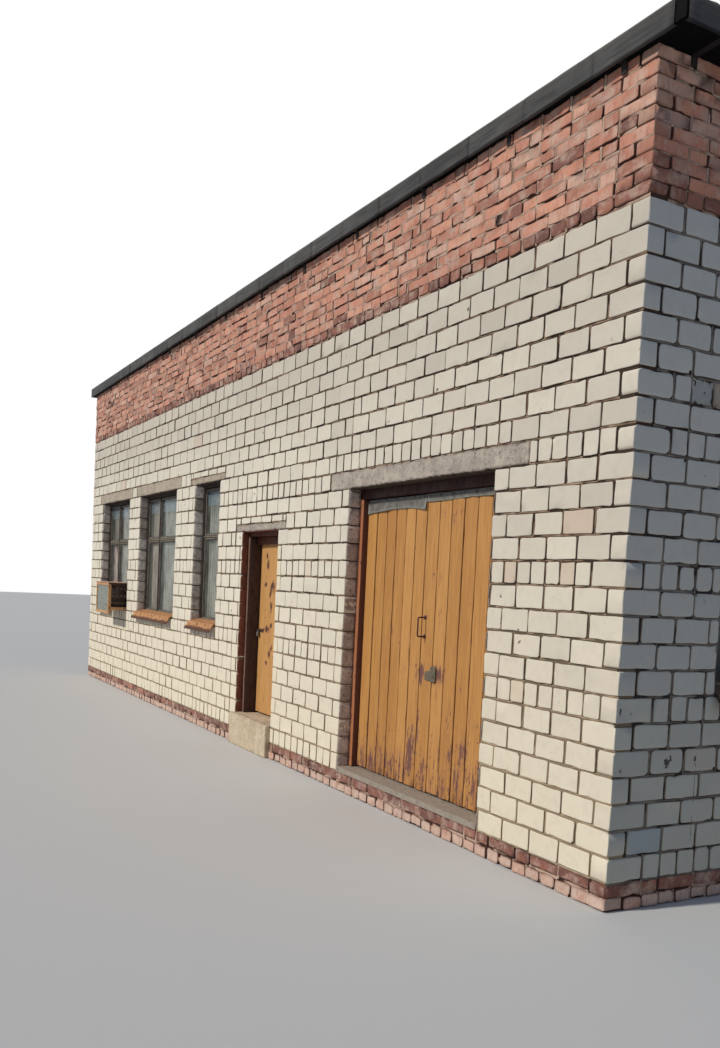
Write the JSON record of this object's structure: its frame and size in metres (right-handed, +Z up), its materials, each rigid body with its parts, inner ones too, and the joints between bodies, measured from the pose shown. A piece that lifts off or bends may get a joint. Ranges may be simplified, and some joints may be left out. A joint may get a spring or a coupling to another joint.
{
  "type": "railway station building",
  "caption": "Flat-roofed single-storey station building of pale and red brick, hollow, with a double gate and a door that open inwards, framed windows and a metal-edged roof.",
  "frame": {"origin": "middle of the footprint of the outer walls, on the level ground that the walls rest on", "axes": "+X along the front towards the end wall with windows, +Y from the front to the back, +Z up"},
  "size_m": [12.407, 6.366, 4.663],
  "materials": {
    "brown_timber": "worn dark brown paint",
    "cage_panel": "pale blue-grey paint, worn",
    "concrete": "rough cast concrete, weathered",
    "curtain": "thin gathered curtain",
    "flap_rubber": "grey sheet rubber, matt",
    "glass": "dusty window glass",
    "iron": "rusty iron",
    "ochre_timber": "worn ochre oil paint on boards",
    "pale_brick": "pressed silicate brick with recessed dark joints, weathered",
    "red_brick": "rough red common brick, uneven, open joints",
    "roofing_felt": "bituminous felt, matt",
    "sheet_metal": "dark weathered sheet metal, matt",
    "window_timber": "weathered grey-brown paint"
  },
  "bodies": {
    "building": {"plinth": "red_brick", "floor_slab": "concrete", "door_step": "concrete", "front_wall_far": "pale_brick", "front_pier_middle": "pale_brick", "front_pier_near": "pale_brick", "front_wall_over_door": "pale_brick", "front_wall_over_gate": "pale_brick", "near_end_wall": "pale_brick", "far_end_wall": "pale_brick", "back_wall": "pale_brick", "red_wall_front": "red_brick", "red_wall_back": "red_brick", "red_walls_end": "red_brick", "roof_planks": "concrete", "roof_screed": "concrete", "roof_felt": "roofing_felt", "fascia_front": "sheet_metal", "fascia_back": "sheet_metal", "fascia_ends": "sheet_metal", "eave_straps": "iron", "gate_lintel": "concrete", "door_lintel": "concrete", "window_lintels": "concrete", "frame_narrow": "window_timber", "frame_middle": "window_timber", "frame_far": "window_timber", "frames_end": "window_timber", "frames_back": "window_timber", "window_glass": "glass", "window_sills": "ochre_timber", "window_curtains": "curtain", "cage_frame": "ochre_timber", "cage_panels": "cage_panel", "cage_grille": "iron", "door_lining": "brown_timber", "gate_frame": "brown_timber"},
    "gate_right": {"gate_leaf_right": "ochre_timber", "gate_flap_right": "flap_rubber", "gate_handle": "iron", "gate_lock": "iron"},
    "gate_left": {"gate_leaf_left": "ochre_timber", "gate_flap_left": "flap_rubber"},
    "door": {"door_leaf": "ochre_timber", "door_hasp": "iron"}
  },
  "joints": [
    {"name": "gate_right_hinge", "type": "hinge", "parent": "building", "child": "gate_right", "pos_m": [4.769, -2.776, 0.5], "axis": [0, 0, -1], "range_deg": [0, 95]},
    {"name": "gate_left_hinge", "type": "hinge", "parent": "building", "child": "gate_left", "pos_m": [2.93, -2.776, 0.5], "axis": [0, 0, 1], "range_deg": [0, 95]},
    {"name": "door_hinge", "type": "hinge", "parent": "building", "child": "door", "pos_m": [1.435, -2.753, 0.5], "axis": [0, 0, -1], "range_deg": [0, 95]}
  ]
}
